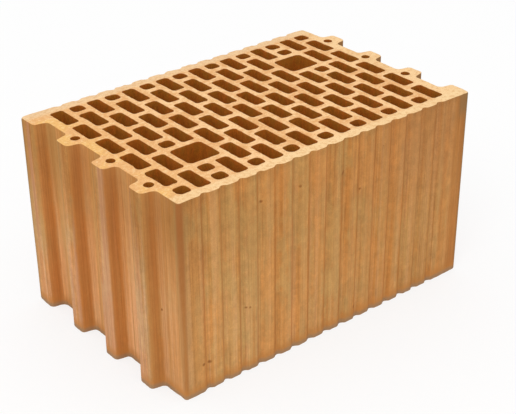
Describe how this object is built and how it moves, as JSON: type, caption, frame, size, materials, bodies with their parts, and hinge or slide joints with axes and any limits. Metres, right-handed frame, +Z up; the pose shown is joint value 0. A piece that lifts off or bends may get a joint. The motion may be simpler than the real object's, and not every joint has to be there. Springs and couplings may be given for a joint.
{
  "type": "hollow clay block",
  "caption": "Large vertically perforated fired clay wall block with tongue and groove ends, grooved long faces and two grip holes.",
  "frame": {"origin": "middle of the underside's bounding box, on the floor", "axes": "+X along the grooved long face, +Y through the wall, +Z up along the cells"},
  "size_m": [0.395, 0.25, 0.219],
  "materials": {
    "fired_clay": "rough porous fired clay, tan orange on the extruded faces, paler peach on the wire-cut beds"
  },
  "bodies": {
    "root": {"hollow_clay_block": "fired_clay"}
  },
  "joints": []
}
